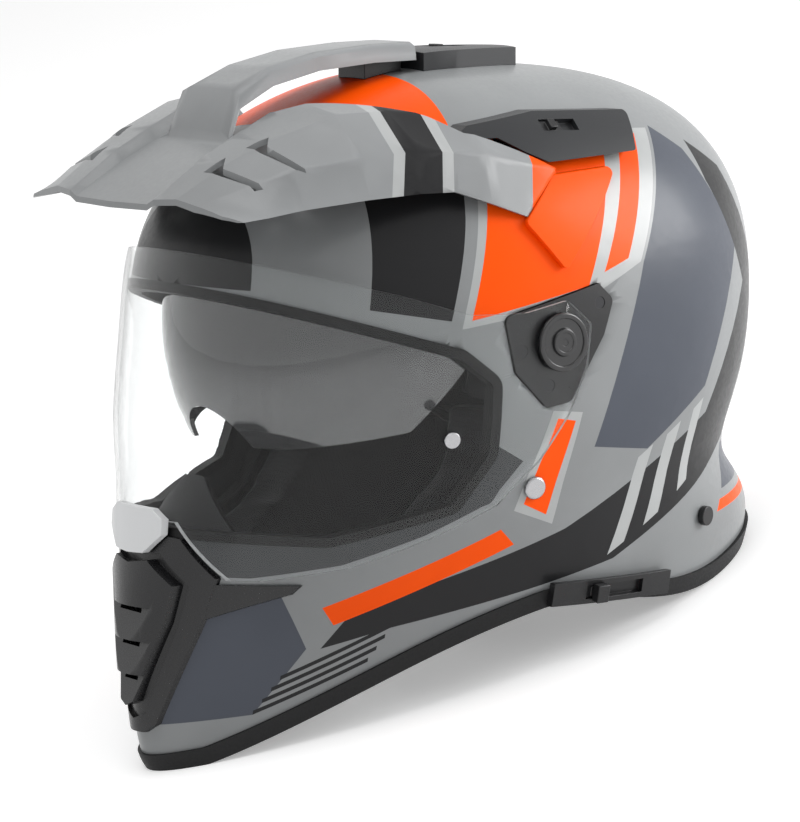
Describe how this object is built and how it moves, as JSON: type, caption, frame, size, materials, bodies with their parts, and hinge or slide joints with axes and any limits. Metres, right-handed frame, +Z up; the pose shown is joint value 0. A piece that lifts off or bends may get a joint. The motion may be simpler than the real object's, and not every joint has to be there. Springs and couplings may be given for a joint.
{
  "type": "sport helmet",
  "caption": "Full face dual sport helmet with a swinging clear shield, a drop-down sun visor, a roof peak, sliding vents and a padded lining.",
  "frame": {"origin": "on the table under the middle of the helmet, which rests on its chin and nape trim", "axes": "+Y to the back of the head, +Z up, +X to the wearer's left"},
  "size_m": [0.265, 0.4026, 0.3157],
  "materials": {
    "shell_grey": "satin lacquer over a painted grey base",
    "peak_grey": "fine satin",
    "plate_grey": "fine satin",
    "trim_rubber": "matte",
    "soft_rubber": "matte",
    "foam_black": "fine bead texture",
    "liner_fabric": "knitted mesh",
    "strap_webbing": "woven webbing",
    "clear_shield": "clear, polished",
    "tab_white": "polished",
    "sun_lens": "dark smoke tint, polished",
    "pin_steel": "satin",
    "screw_black": "black oxide",
    "plate_black": "fine grain",
    "vent_black": "fine grain"
  },
  "bodies": {
    "helmet": {"outer_shell": "shell_grey", "edge_trim": "trim_rubber", "eye_port_seal": "trim_rubber", "crown_foam": "foam_black", "crown_liner": "liner_fabric", "cheek_foam_left": "foam_black", "cheek_foam_right": "foam_black", "cheek_pad_left": "liner_fabric", "cheek_pad_right": "liner_fabric", "chin_foam": "foam_black", "breath_guard": "soft_rubber", "chin_curtain": "liner_fabric", "neck_roll": "liner_fabric", "base_plate_left": "plate_black", "base_plate_right": "plate_black", "base_plate_screws": "screw_black", "shield_pivot_left": "plate_black", "shield_pivot_right": "plate_black", "pivot_cap_left": "plate_black", "pivot_cap_right": "plate_black", "sun_visor_pins": "plate_black", "visor_lever_track": "plate_black", "peak": "peak_grey", "crown_mount": "plate_black", "side_cover_left": "plate_grey", "side_cover_right": "plate_grey", "top_vent": "vent_black", "side_vent_left": "vent_black", "side_vent_right": "vent_black", "chin_vent": "vent_black", "chin_vent_grille": "plate_black", "strap_rivets": "pin_steel", "collar_studs": "plate_black", "rear_vent": "vent_black", "chin_strap_left": "strap_webbing", "chin_strap_right": "strap_webbing", "strap_buckle": "pin_steel"},
    "shield": {"face_shield": "clear_shield", "shield_lift_tab": "tab_white", "lens_pins": "pin_steel"},
    "sun_visor": {"sun_visor": "sun_lens"},
    "visor_lever": {"visor_lever": "plate_black"},
    "top_vent_slider": {"top_vent_slider": "plate_black"},
    "side_vent_slider_left": {"side_vent_slider_left": "plate_black"},
    "side_vent_slider_right": {"side_vent_slider_right": "plate_black"}
  },
  "joints": [
    {"name": "shield_swing", "type": "hinge", "parent": "helmet", "child": "shield", "pos_m": [0, 0.0147, 0.162], "axis": [-1, 0, 0], "range_deg": [0, 38]},
    {"name": "sun_visor_swing", "type": "hinge", "parent": "helmet", "child": "sun_visor", "pos_m": [0, 0.00595, 0.1677], "axis": [-1, 0, 0], "range_deg": [0, 36]},
    {"name": "visor_lever_slide", "type": "slide", "parent": "helmet", "child": "visor_lever", "axis": [-0.0406, 0.9609, -0.274], "range_m": [0, 0.022]},
    {"name": "top_vent_slide", "type": "slide", "parent": "helmet", "child": "top_vent_slider", "axis": [0, 0.9593, -0.2823], "range_m": [0, 0.009]},
    {"name": "side_vent_slide_left", "type": "slide", "parent": "helmet", "child": "side_vent_slider_left", "axis": [-0.0055, 0.9577, -0.2878], "range_m": [0, 0.009]},
    {"name": "side_vent_slide_right", "type": "slide", "parent": "helmet", "child": "side_vent_slider_right", "axis": [0.0055, 0.9577, -0.2878], "range_m": [0, 0.009]}
  ],
  "couplings": [
    {"joint": "visor_lever_slide", "follows": "sun_visor_swing", "m_per_rad": 0.035014}
  ]
}
